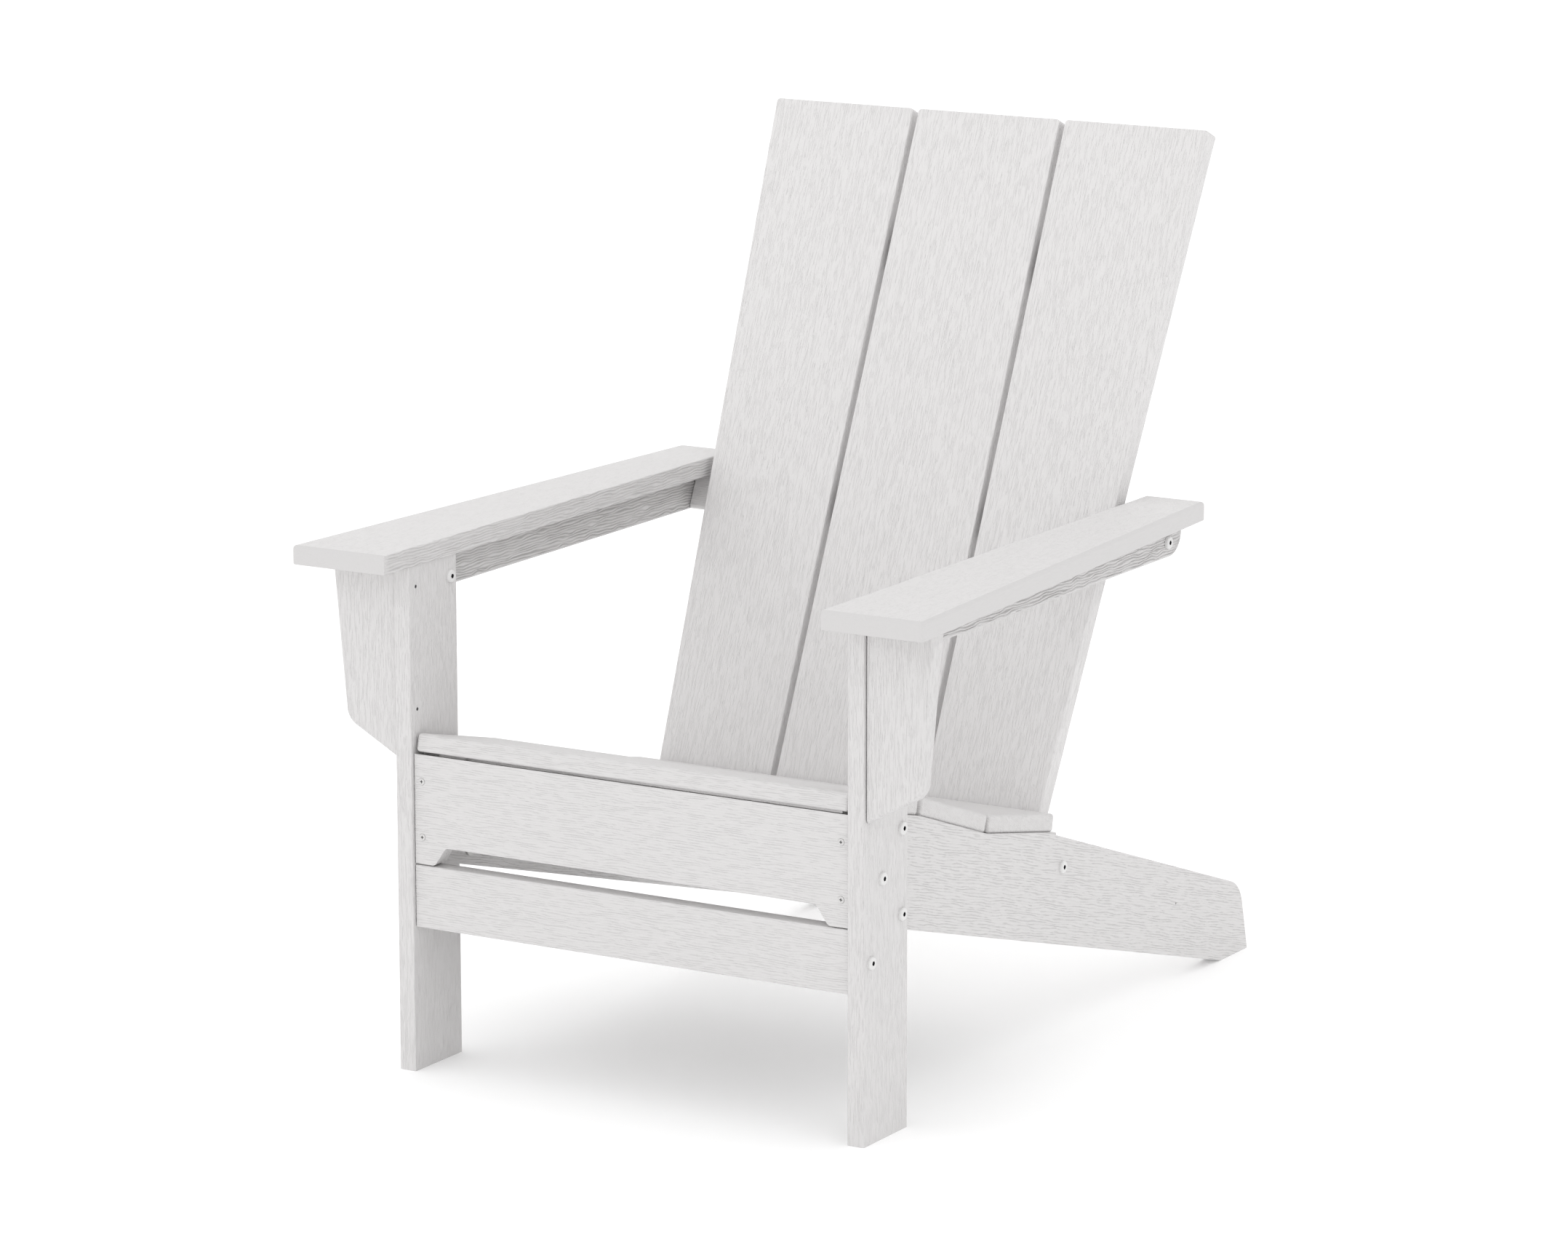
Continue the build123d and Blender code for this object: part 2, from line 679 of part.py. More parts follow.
with BuildPart() as rail_nuts:
    for place in RAIL_BOLTS:
        bar(place.offset(cap_bolt_length), cap_nut_radius, -cap_nut_height)
save(rail_nuts, "arm_rail_nuts")

barrel_groups = {
    "stretcher_barrel_nuts": STRETCHER_BARRELS,
    "back_rail_barrel_nuts": LOWER_RAIL_BARRELS,
    "crossbeam_barrel_nuts": BEAM_BARRELS,
}
for name, places in barrel_groups.items():
    with BuildPart() as barrels:
        for place in places:
            bar(place, barrel_radius, barrel_length)
    save(barrels, name)

# ---- Screws ----
with BuildPart() as apron_screws:
    for place in APRON_SCREWS:
        screw(place, apron_screw_length, screw_head_radius, screw_radius)
save(apron_screws, "apron_screws")

with BuildPart() as bracket_screws:
    for place in BRACKET_SCREWS:
        screw(place, bracket_screw_length, bracket_screw_head_radius, bracket_screw_radius, 0)
save(bracket_screws, "bracket_screws")

with BuildPart() as slat_screws:
    for place in SLAT_SCREWS:
        screw(place, slat_screw_length, screw_head_radius, screw_radius, 0)
save(slat_screws, "seat_slat_screws")

with BuildPart() as arm_screws:
    for place in ARM_SCREWS:
        screw(place, arm_screw_length, screw_head_radius, screw_radius, screw_head_height)
save(arm_screws, "arm_screws")

with BuildPart() as back_screws:
    for place in BACK_SCREWS:
        screw(place, board + back_screw_bite, screw_head_radius, screw_radius)
    for place in BEAM_SCREWS:
        screw(place, beam_screw_depth + back_screw_bite, screw_head_radius, screw_radius, screw_head_height)
save(back_screws, "back_board_screws")
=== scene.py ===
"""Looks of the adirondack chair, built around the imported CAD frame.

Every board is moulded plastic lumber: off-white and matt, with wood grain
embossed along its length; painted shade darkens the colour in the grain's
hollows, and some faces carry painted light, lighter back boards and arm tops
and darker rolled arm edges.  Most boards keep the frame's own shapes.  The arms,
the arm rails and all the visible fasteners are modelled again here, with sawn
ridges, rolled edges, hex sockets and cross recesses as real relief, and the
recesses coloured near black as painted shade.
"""

import logging
import math
from dataclasses import dataclass
from enum import Enum

import bmesh
import bpy
import numpy as np
from mathutils import Matrix, Vector


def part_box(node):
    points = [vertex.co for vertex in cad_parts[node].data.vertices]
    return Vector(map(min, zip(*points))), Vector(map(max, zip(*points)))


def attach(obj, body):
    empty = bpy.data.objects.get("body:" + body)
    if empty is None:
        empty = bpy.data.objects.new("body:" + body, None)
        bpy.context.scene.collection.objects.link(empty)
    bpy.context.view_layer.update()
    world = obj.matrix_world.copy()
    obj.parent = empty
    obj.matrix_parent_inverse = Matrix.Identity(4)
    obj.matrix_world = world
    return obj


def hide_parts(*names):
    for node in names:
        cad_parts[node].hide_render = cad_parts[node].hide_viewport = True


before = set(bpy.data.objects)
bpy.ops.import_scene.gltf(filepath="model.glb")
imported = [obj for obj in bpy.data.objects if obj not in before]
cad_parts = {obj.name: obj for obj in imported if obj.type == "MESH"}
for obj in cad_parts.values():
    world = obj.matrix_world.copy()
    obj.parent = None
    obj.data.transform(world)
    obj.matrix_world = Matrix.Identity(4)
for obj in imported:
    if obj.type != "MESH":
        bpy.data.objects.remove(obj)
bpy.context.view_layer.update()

BODY = "root"
SIDES = {"left": -1.0, "right": 1.0}

log = logging.getLogger("chair")


# ---------------------------------------------------------------- shader maths
class Wire:
    """A shader value: one output socket and the tree it belongs to."""

    def __init__(self, tree: "Nodes", socket: bpy.types.NodeSocket) -> None:
        """Keeps the socket and its tree."""
        self.tree = tree
        self.socket = socket

    def _math(self, operation: str, first: object, second: object) -> "Wire":
        """Adds one Math node on two values."""
        return self.tree.node("ShaderNodeMath", {"operation": operation}, {0: first, 1: second})

    def __add__(self, other: object) -> "Wire":
        """Sum."""
        return self._math("ADD", self, other)

    def __radd__(self, other: object) -> "Wire":
        """Sum, reflected."""
        return self._math("ADD", other, self)

    def __sub__(self, other: object) -> "Wire":
        """Difference."""
        return self._math("SUBTRACT", self, other)

    def __rsub__(self, other: object) -> "Wire":
        """Difference, reflected."""
        return self._math("SUBTRACT", other, self)

    def __mul__(self, other: object) -> "Wire":
        """Product."""
        return self._math("MULTIPLY", self, other)

    def __rmul__(self, other: object) -> "Wire":
        """Product, reflected."""
        return self._math("MULTIPLY", other, self)

    def sine(self) -> "Wire":
        """Sine of an angle in radians."""
        return self.tree.node("ShaderNodeMath", {"operation": "SINE"}, {0: self})

    def axis(self, name: str) -> "Wire":
        """One of a vector's components, X, Y or Z."""
        return self.tree.node("ShaderNodeSeparateXYZ", {}, {"Vector": self}, name)

    def between(self, low: float, high: float) -> "Wire":
        """A smooth step: 0 at low, 1 at high."""
        settings = {"interpolation_type": "SMOOTHSTEP", "clamp": True}
        values = {"Value": self, "From Min": low, "From Max": high}
        return self.tree.node("ShaderNodeMapRange", settings, values)


class Nodes:
    """A material's node tree, with one method that adds any node."""

    def __init__(self, name: str) -> None:
        """Starts an empty material with its output and shader."""
        self.material = bpy.data.materials.new(name)
        self.material.use_nodes = True
        self.tree = self.material.node_tree
        self.tree.nodes.clear()
        self.shader = self.tree.nodes.new("ShaderNodeBsdfPrincipled")
        out = self.tree.nodes.new("ShaderNodeOutputMaterial")
        self.tree.links.new(self.shader.outputs["BSDF"], out.inputs["Surface"])

    def node(self, kind: str, settings: dict, values: dict, output: object = 0) -> Wire:
        """Adds a node.

        Args:
            kind: The node's type name.
            settings: Attributes set before the sockets are read.
            values: Socket name or index to a number, a tuple or a Wire.
            output: The output socket to hand back.

        Returns:
            The chosen output as a Wire.
        """
        made = self.tree.nodes.new(kind)
        for name, value in settings.items():
            setattr(made, name, value)
        for key, value in values.items():
            self.feed(made.inputs[key], value)
        return Wire(self, made.outputs[output])

    def feed(self, socket: bpy.types.NodeSocket, value: object) -> None:
        """Links a Wire to a socket, or sets a plain value on it."""
        if isinstance(value, Wire):
            self.tree.links.new(value.socket, socket)
        else:
            socket.default_value = value

    def here(self, lay: "Lay", shift: float) -> Wire:
        """Object coordinates in metres, turned so that the grain runs along X, then shifted."""
        place = self.node("ShaderNodeTexCoord", {}, {}, "Object")
        values = {"Vector": place, "Rotation": lay.turn(), "Location": (shift, shift, shift)}
        return self.node("ShaderNodeMapping", {}, values)

    def noise(self, where: Wire, stretch: tuple, detail: float, rough: float, bend: float) -> Wire:
        """Smooth noise from 0 to 1.

        Args:
            where: Place in metres.
            stretch: Cells per metre on each axis.
            detail: Octaves of finer noise.
            rough: Weight of each finer octave.
            bend: How far the noise is warped.

        Returns:
            The noise.
        """
        cells = self.node("ShaderNodeMapping", {}, {"Vector": where, "Scale": stretch})
        values = {"Vector": cells, "Scale": 1.0, "Detail": detail, "Roughness": rough, "Distortion": bend}
        return self.node("ShaderNodeTexNoise", {"noise_dimensions": "3D"}, values, "Fac")

    def blend(self, share: object, first: object, second: object) -> Wire:
        """Mixes two colours by share."""
        settings = {"data_type": "RGBA", "clamp_factor": True}
        return self.node("ShaderNodeMix", settings, {0: share, 6: first, 7: second}, 2)

    def bump(self, height: Wire, depth: float) -> Wire:
        """A bump of that depth in metres for a height from 0 to 1."""
        return self.node("ShaderNodeBump", {}, {"Height": height, "Distance": depth}, "Normal")


# -------------------------------------------------------------------- finishes
@dataclass(frozen=True)
class Lay:
    """How grain lies on a board: along its length and across its face."""

    along: tuple
    across: tuple

    def turn(self) -> tuple:
        """The turn whose first row is the length, second the width and third their cross product."""
        length, width = Vector(self.along), Vector(self.across)
        return tuple(Matrix((length, width, length.cross(width))).to_euler())


class Grain(Enum):
    """How a face of plastic lumber is textured."""

    STREAKED = "streaked"
    GROOVED = "grooved"
    COMBED = "combed"
    PEBBLED = "pebbled"
    SAWN = "sawn"
    RIDGED = "ridged"
    ROLLED = "rolled"


@dataclass(frozen=True)
class Texture:
    """Strengths and sizes of a grain's layers: streaks, fibres, pores and pebbles, each darkening the
    colour in its hollows as painted shade.
    """

    streak_cells: tuple
    streak_edges: tuple
    streak_shade: float
    fibre_shade: float
    pore_shade: float
    pebble_shade: float
    cut_shade: float
    relief: float


TEXTURES = {
    Grain.STREAKED: Texture((60.0, 300.0, 300.0), (0.5, 0.66), 0.13, 0.05, 0.0, 0.02, 0.0, 0.0004),
    Grain.GROOVED: Texture((50.0, 260.0, 260.0), (0.5, 0.62), 0.24, 0.05, 0.0, 0.02, 0.0, 0.0005),
    Grain.COMBED: Texture((50.0, 760.0, 760.0), (0.5, 0.66), 0.05, 0.04, 0.03, 0.03, 0.0, 0.0004),
    Grain.PEBBLED: Texture((110.0, 520.0, 520.0), (0.5, 0.7), 0.04, 0.03, 0.03, 0.05, 0.0, 0.0004),
    Grain.SAWN: Texture((60.0, 600.0, 600.0), (0.5, 0.66), 0.06, 0.05, 0.0, 0.03, 0.75, 0.0003),
    Grain.RIDGED: Texture((60.0, 600.0, 600.0), (0.5, 0.66), 0.06, 0.05, 0.0, 0.03, 0.35, 0.0003),
    Grain.ROLLED: Texture((60.0, 400.0, 400.0), (0.5, 0.7), 0.02, 0.03, 0.0, 0.02, 0.0, 0.00005),
}

# Noise cells per metre along, across and through a board.
FIBRE_CELLS = (45.0, 900.0, 900.0)
PORE_CELLS = (260.0, 620.0, 620.0)
PEBBLE_CELLS = (420.0, 700.0, 700.0)
WANDER_CELLS = (22.0, 120.0, 120.0)
WANDER_CYCLES = 2.6
MOTTLE_CELLS = (800.0, 800.0, 800.0)

# Colours of the lumber: the pale plastic, and the painted shade laid into the grain's hollows.
PALE = (0.668, 0.657, 0.655, 1.0)
HOLLOW_PAINTED_SHADE = (0.28, 0.272, 0.268, 1.0)
GROOVE_LAYER = "groove"
# Metres between the fine grain lines.
LINE_PITCH = {Grain.STREAKED: 0.0026, Grain.GROOVED: 0.003}


@dataclass(frozen=True)
class Lumber:
    """Moulded plastic lumber with embossed grain."""

    name: str
    grain: Grain
    lay: Lay
    seed: float
    # Painted light: a gain on both colours that makes a board or face lighter or darker than the rest, as
    # if lit differently.
    painted_light_gain: float = 1.0

    def make(self) -> bpy.types.Material:
        """Builds the material.

        Returns:
            A material whose colour, roughness and bump follow streaks, fibres, pores and pebbles, with
            painted shade in their hollows.
        """
        look = TEXTURES[self.grain]
        tree = Nodes(self.name)
        place = tree.here(self.lay, self.seed)
        streak = tree.noise(place, look.streak_cells, 2.0, 0.55, 0.6)
        fibre = tree.noise(place, FIBRE_CELLS, 2.0, 0.6, 0.3)
        pore = tree.noise(place, PORE_CELLS, 1.0, 0.5, 0.2)
        pebble = tree.noise(place, PEBBLE_CELLS, 2.0, 0.55, 0.0)
        low, high = look.streak_edges
        groove = streak.between(low, high)
        if self.grain in LINE_PITCH:
            wander = tree.noise(place, WANDER_CELLS, 2.0, 0.5, 0.0) * WANDER_CYCLES
            cycles = (place.axis("Y") + place.axis("Z")) * (1.0 / LINE_PITCH[self.grain]) + wander
            line = (cycles * (2.0 * math.pi)).sine().between(0.1, 0.95)
            groove = line * (0.25 + streak.between(0.4, 0.6) * 0.75)
        pit = pore.between(0.66, 0.74)
        # Painted shade: the colour darkens where the streaks, fibres, pores and pebbles sink, standing in
        # for shade in the embossed hollows.
        shade = groove * look.streak_shade + fibre.between(0.45, 0.7) * look.fibre_shade
        shade = shade + pit * look.pore_shade + pebble.between(0.5, 0.75) * look.pebble_shade
        if look.cut_shade > 0:
            # Painted shade: the colour darkens where the sawn ridges are cut deepest.
            cut = tree.node("ShaderNodeAttribute", {"attribute_name": GROOVE_LAYER}, {}, "Fac")
            shade = shade + cut * look.cut_shade
        pit_depth = 0.5 * min(1.0, look.pore_shade * 4.0)
        height = 1.0 - (groove * 0.6 + fibre * 0.25 + pit * pit_depth + pebble * 0.2)
        # Painted light: the pale and the painted shade colours are both scaled by the painted light gain.
        pale, dark = (tuple(channel * self.painted_light_gain for channel in tint[:3]) + (1.0,) for tint in (PALE, HOLLOW_PAINTED_SHADE))
        tree.feed(tree.shader.inputs["Base Color"], tree.blend(shade, pale, dark))
        tree.feed(tree.shader.inputs["Roughness"], 0.52 + fibre * 0.14)
        tree.feed(tree.shader.inputs["Normal"], tree.bump(height, look.relief))
        tree.shader.inputs["Specular IOR Level"].default_value = 0.3
        return tree.material


@dataclass(frozen=True)
class Coating:
    """A fastener's finish: painted, bare or dark metal."""

    name: str
    colour: tuple
    metallic: float
    rough: float

    def make(self) -> bpy.types.Material:
        """Builds the material, with a faint mottle in its colour and gloss."""
        tree = Nodes(self.name)
        mottle = tree.noise(tree.here(ALONG_X, 0.0), MOTTLE_CELLS, 3.0, 0.6, 0.0)
        darker = tuple(channel * 0.88 for channel in self.colour) + (1.0,)
        tree.feed(tree.shader.inputs["Base Color"], tree.blend(mottle, darker, self.colour + (1.0,)))
        tree.feed(tree.shader.inputs["Roughness"], self.rough + mottle * 0.1)
        tree.feed(tree.shader.inputs["Normal"], tree.bump(mottle, 0.00003))
        tree.shader.inputs["Metallic"].default_value = self.metallic
        return tree.material


ALONG_X = Lay((1.0, 0.0, 0.0), (0.0, 1.0, 0.0))
ALONG_Y = Lay((0.0, 1.0, 0.0), (-1.0, 0.0, 0.0))
ALONG_Z = Lay((0.0, 0.0, 1.0), (1.0, 0.0, 0.0))


def tilted(angle: float) -> Lay:
    """The lay of a board in a plane of constant X whose length climbs to the rear by angle."""
    return Lay((0.0, math.cos(angle), math.sin(angle)), (-1.0, 0.0, 0.0))


# ---------------------------------------------------------------- mesh helpers
def streaks(along: np.ndarray, across: np.ndarray, seed: int) -> np.ndarray:
    """Smooth random ridges from 0 to 1.

    Each point blends the four nearest values of a random lattice by smooth
    steps of its distances along and across, in lattice cells.

    Args:
        along: Position along the grain, in cells.
        across: Position across the grain, in cells.
        seed: Seed of the lattice.

    Returns:
        One value per point.
    """
    lattice = np.random.default_rng(seed).random((64, 256))
    cell_a, cell_b = np.floor(along).astype(int), np.floor(across).astype(int)
    part_a, part_b = along - cell_a, across - cell_b
    part_a, part_b = part_a * part_a * (3 - 2 * part_a), part_b * part_b * (3 - 2 * part_b)
    rows, columns = lattice.shape
    near = lattice[cell_b % rows, cell_a % columns] * (1 - part_a)
    near += lattice[cell_b % rows, (cell_a + 1) % columns] * part_a
    far = lattice[(cell_b + 1) % rows, cell_a % columns] * (1 - part_a)
    far += lattice[(cell_b + 1) % rows, (cell_a + 1) % columns] * part_a
    return near * (1 - part_b) + far * part_b


def sawn_relief(along: np.ndarray, across: np.ndarray, seed: int) -> np.ndarray:
    """Depth of sawn ridges from 0 to 1.

    A sine wave across the board, its phase shifted by slow noise so the ridges
    wander, clipped, and scaled by more noise so they fade in and out.

    Args:
        along: Position along the board, in metres.
        across: Position across the board, in metres.
        seed: Seed of both noises.

    Returns:
        One depth per point.
    """
    wander = streaks(along / 0.014, across / 0.005, seed)
    strength = streaks(along / 0.02, across / 0.003, seed + 1)
    wave = np.sin(2 * math.pi * (across / 0.003 + 1.1 * wander))
    return np.clip(0.4 + 0.8 * wave, 0, 1) * (0.45 + 0.55 * strength)


def loop_faces(rows: int, columns: int) -> list:
    """Quads of a grid whose columns close into a ring, wound to face outwards."""
    row, column = np.meshgrid(np.arange(rows - 1), np.arange(columns), indexing="ij")
    right = (column + 1) % columns
    quads = [row * columns + column, row * columns + right]
    quads += [(row + 1) * columns + right, (row + 1) * columns + column]
    return np.stack(quads, -1).reshape(-1, 4).tolist()


def closed_piece(
    name: str, grid: np.ndarray, cuts: np.ndarray, slots: np.ndarray, materials: list
) -> bpy.types.Object:
    """Makes a closed mesh piece from a ring-shaped grid and its two end caps.

    Args:
        name: The piece's name.
        grid: Points, rows by columns by three; columns close into a ring.
        cuts: Depth of the sawn ridges at each point, from 0 to 1, rows by columns.
        slots: Material index of each quad, rows less one by columns; the caps take the first.
        materials: The piece's materials.

    Returns:
        The object, riding on the chair's body.
    """
    rows, columns = grid.shape[:2]
    faces = loop_faces(rows, columns)
    faces.append(list(range(columns))[::-1])
    faces.append(list(range((rows - 1) * columns, rows * columns)))
    mesh = bpy.data.meshes.new(name)
    mesh.from_pydata(grid.reshape(-1, 3).tolist(), [], faces)
    for material in materials:
        mesh.materials.append(material)
    index = np.concatenate([slots.reshape(-1), (0, 0)]).astype(np.int32)
    mesh.polygons.foreach_set("material_index", index)
    # The ridges' depth is kept for the material, which darkens the colour with it as painted shade.
    layer = mesh.attributes.new(GROOVE_LAYER, "FLOAT", "POINT")
    layer.data.foreach_set("value", cuts.astype(np.float32).reshape(-1))
    return finish_piece(name, mesh)


def finish_piece(name: str, mesh: bpy.types.Mesh, crease: float = 40.0) -> bpy.types.Object:
    """Turns faces outwards, shades them smooth up to a crease angle, and rides the piece.

    Args:
        name: The piece's name.
        mesh: Its mesh, with its materials and slots set.
        crease: Angle in degrees past which an edge stays sharp.

    Returns:
        The object, at the origin.
    """
    working = bmesh.new()
    working.from_mesh(mesh)
    bmesh.ops.remove_doubles(working, verts=working.verts, dist=1e-7)
    bmesh.ops.recalc_face_normals(working, faces=working.faces)
    working.to_mesh(mesh)
    working.free()
    mesh.polygons.foreach_set("use_smooth", np.ones(len(mesh.polygons), bool))
    mesh.set_sharp_from_angle(angle=math.radians(crease))
    piece = bpy.data.objects.new(name, mesh)
    bpy.context.scene.collection.objects.link(piece)
    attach(piece, BODY)
    log.info("%s: %d faces", name, len(mesh.polygons))
    return piece


# ------------------------------------------------------------------------ arms
@dataclass
class Arms:
    """The two wide arm boards: rolled front, outer and rear edges, sawn inner edge."""

    rear_half_span: float = 0.3324
    corner: float = 0.0042
    roll: float = 0.004
    lower_roll: float = 0.0015
    lip: float = 0.0001
    fade_share: float = 1 / 60
    arris: float = 0.0008
    ridge_depth: float = 0.0006
    length_step: float = 0.0022
    height_step: float = 0.0006

    def levels(self, thickness: float) -> tuple:
        """Depths from the top down, and the inset of the rolled and of the sawn edge at each.

        The roll is a quarter circle: inset = r - sqrt(r^2 - (r - depth)^2), with depth
        measured from the nearer face.

        Args:
            thickness: The board's thickness.

        Returns:
            Depth, rolled inset and sawn inset of each ring.
        """
        turn = np.linspace(0, math.pi / 2, 9)
        upper = self.roll * (1 - np.cos(turn))
        lower = thickness - self.lower_roll * (1 - np.cos(turn))[::-1]
        straight = np.arange(self.roll, thickness - self.lower_roll, self.height_step)[1:]
        depth = np.concatenate([[0.0], upper, straight, lower, [thickness]])

        def inset(radius: float, distance: np.ndarray) -> np.ndarray:
            """Inset of a quarter circle at a distance from its face."""
            return radius - np.sqrt(np.maximum(0, radius**2 - np.maximum(0, radius - distance) ** 2))

        rolled = inset(self.roll, depth) + inset(self.lower_roll, thickness - depth)
        sawn = inset(self.arris, np.minimum(depth, thickness - depth))
        lip = np.zeros_like(depth)
        lip[[0, -1]] = self.lip
        return depth, rolled + lip, sawn + lip

    def grid(self, side: float, low: Vector, high: Vector, seed: int) -> tuple:
        """Rings of the board from the top face's rim down to the bottom's.

        Each ring follows the four edges, each moved in by its own inset, with arcs
        at the two outer corners.  The sawn edge is pushed in by its ridges.

        Args:
            side: -1 for left, 1 for right.
            low: Lowest corner of the arm's box.
            high: Highest corner of the arm's box.
            seed: Seed of the ridges.

        Returns:
            The points, the depth of the ridges at each, and a mask of the sawn edge's columns.
        """
        depth, rolled, sawn = (level[:, None] for level in self.levels(high.z - low.z))
        inner, outer = sorted((abs(low.x), abs(high.x)))
        front, rear = low.y, high.y
        slope = (outer - self.rear_half_span) / (rear - front)
        slant = math.atan(slope)
        along = np.linspace(0, 1, int((rear - front) / self.length_step))[None, :]
        inner_x = inner + sawn + 0 * along
        inner_y = rear - rolled - along * (rear - front - 2 * rolled)
        ridges = sawn_relief(inner_y, high.z - depth + 0 * along, seed) * self.ridge_depth
        fade = np.clip(np.minimum(along, 1 - along) / self.fade_share, 0, 1)
        inner_x = inner_x + ridges * fade
        cuts = ridges * fade / self.ridge_depth

        def edge_x(y: float) -> float:
            """X of the slanted outer edge at y."""
            return outer - (y - front) * slope

        inward = self.corner / math.cos(slant)
        front_turn = np.linspace(-math.pi / 2, slant, 10)[None, :]
        rear_turn = np.linspace(slant, math.pi / 2, 10)[None, :]
        front_centre = (edge_x(front + self.corner) - inward, front + self.corner)
        rear_centre = (edge_x(rear - self.corner) - inward, rear - self.corner)
        radius = self.corner - rolled
        front_x = front_centre[0] + radius * np.cos(front_turn)
        front_y = front_centre[1] + radius * np.sin(front_turn)
        rear_x = rear_centre[0] + radius * np.cos(rear_turn)
        rear_y = rear_centre[1] + radius * np.sin(rear_turn)
        steps = np.linspace(0, 1, 14)[None, 1:-1]
        fore_x = inner + sawn + steps * (front_x[:, :1] - inner - sawn)
        fore_y = front + rolled + 0 * steps
        side_x = front_x[:, -1:] + steps * (rear_x[:, :1] - front_x[:, -1:])
        side_y = front_y[:, -1:] + steps * (rear_y[:, :1] - front_y[:, -1:])
        back_x = rear_x[:, -1:] + steps * (inner + sawn - rear_x[:, -1:])
        back_y = rear - rolled + 0 * steps
        x = np.concatenate([inner_x, fore_x, front_x, side_x, rear_x, back_x], 1)
        cuts = np.pad(cuts, ((0, 0), (0, x.shape[1] - cuts.shape[1])))
        y = np.concatenate([inner_y, fore_y, front_y, side_y, rear_y, back_y], 1)
        z = high.z - depth + 0 * x
        is_sawn = np.zeros(x.shape[1], bool)
        is_sawn[: inner_x.shape[1] - 1] = True
        return np.stack([side * x, y, z], -1), cuts, is_sawn

    def build(self) -> None:
        """Builds both arms and puts them in place of the frame's plain ones."""
        for number, (name, side) in enumerate(SIDES.items()):
            node = name + "_arm"
            low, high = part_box(node)
            grid, cuts, is_sawn = self.grid(side, low, high, 40 + number)
            slots = np.where(is_sawn[None, :], 2, 1) * np.ones((grid.shape[0] - 1, 1), int)
            materials = [
                # Painted light: the top face is painted lighter and the rolled front, outer and rear edges
                # darker, by their painted light gains.
                Lumber(node + "_top", Grain.PEBBLED, ALONG_Y, 3.0 + number, 1.03).make(),
                Lumber(node + "_rolled", Grain.ROLLED, ALONG_Y, 3.0 + number, 0.92).make(),
                # The sawn inner edge darkens in its ridges' hollows as painted shade.
                Lumber(node + "_sawn", Grain.RIDGED, ALONG_Y, 3.0 + number).make(),
            ]
            piece = closed_piece(node + "_board", grid, cuts, slots, materials)
            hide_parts(node)


# ------------------------------------------------------------------- arm rails
@dataclass
class ArmRails:
    """The rails under the arms: sawn on both faces, rounded at the rear lower corner."""

    end_radius: float = 0.025
    arris: float = 0.0012
    ridge_depth: float = 0.0008
    fade_length: float = 0.004
    length_step: float = 0.0026
    height_step: float = 0.0007

    def section(self, width: float, height: float) -> tuple:
        """One turn round a rectangle with rounded corners.

        Args:
            width: Size along X.
            height: Size along Z.

        Returns:
            X from 0 to width, Z from 0 to height, and the outward direction's X.
        """
        turn = np.linspace(0, math.pi / 2, 4)
        r, flats = self.arris, (int(height / self.height_step), 8)
        centres = ((width - r, r, -math.pi / 2), (width - r, height - r, 0.0))
        centres += ((r, height - r, math.pi / 2), (r, r, math.pi))
        xs, zs, outs = [], [], []
        for index, ((cx, cz, start), count) in enumerate(zip(centres, flats + flats)):
            arc = start + turn
            xs.append(cx + r * np.cos(arc))
            zs.append(cz + r * np.sin(arc))
            outs.append(np.zeros(len(arc)))
            nx, nz, following = centres[(index + 1) % 4]
            share = np.linspace(0, 1, count + 2)[1:-1]
            ax, az = cx + r * math.cos(arc[-1]), cz + r * math.sin(arc[-1])
            bx, bz = nx + r * math.cos(following), nz + r * math.sin(following)
            xs.append(ax + share * (bx - ax))
            zs.append(az + share * (bz - az))
            outs.append(np.full(count, (1.0, 0.0, -1.0, 0.0)[index]))
        return np.concatenate(xs), np.concatenate(zs), np.concatenate(outs)

    def grid(self, low: Vector, high: Vector, seed: int) -> tuple:
        """Sections from the front end to the rear, lifted off the rounded corner.

        Near the rear end the lower edge rises as r - sqrt(r^2 - d^2), with d the
        distance past the start of the arc, and the section is squeezed to fit.

        Args:
            low: Lowest corner of the rail's box.
            high: Highest corner of the rail's box.
            seed: Seed of the ridges.

        Returns:
            The points, the depth of the ridges at each, and a mask of the sawn columns.
        """
        x, z, out = self.section(high.x - low.x, high.z - low.z)
        turn = np.linspace(0, math.pi / 2, 14)
        start = high.y - self.end_radius
        straight = np.arange(low.y, start, self.length_step)
        y = np.concatenate([straight, start + self.end_radius * np.sin(turn)])[:, None]
        past = np.maximum(0, y - start)
        lift = self.end_radius - np.sqrt(np.maximum(0, self.end_radius**2 - past**2))
        tall = high.z - low.z
        z_all = low.z + lift + z[None, :] * (tall - lift) / tall
        ridges = sawn_relief(y + 0 * z_all, z_all, seed) * self.ridge_depth
        fade = np.clip(np.minimum(y - y[0], y[-1] - y) / self.fade_length, 0, 1)
        cuts = ridges * fade * np.abs(out)[None, :] / self.ridge_depth
        x_all = low.x + x[None, :] - out[None, :] * ridges * fade
        return np.stack([x_all, y + 0 * x_all, z_all], -1), cuts, np.abs(out) > 0.5

    def build(self) -> None:
        """Builds both rails and puts them in place of the frame's plain ones."""
        for number, name in enumerate(SIDES):
            node = name + "_arm_rail"
            low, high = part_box(node)
            grid, cuts, is_sawn = self.grid(low, high, 60 + number)
            slots = np.where(is_sawn[None, :], 1, 0) * np.ones((grid.shape[0] - 1, 1), int)
            materials = [
                # The sawn faces darken in their ridges' hollows as painted shade.
                Lumber(node + "_edges", Grain.STREAKED, ALONG_Y, 7.0 + number).make(),
                Lumber(node + "_sawn", Grain.SAWN, ALONG_Y, 7.0 + number).make(),
            ]
            piece = closed_piece(node + "_board", grid, cuts, slots, materials)
            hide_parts(node)


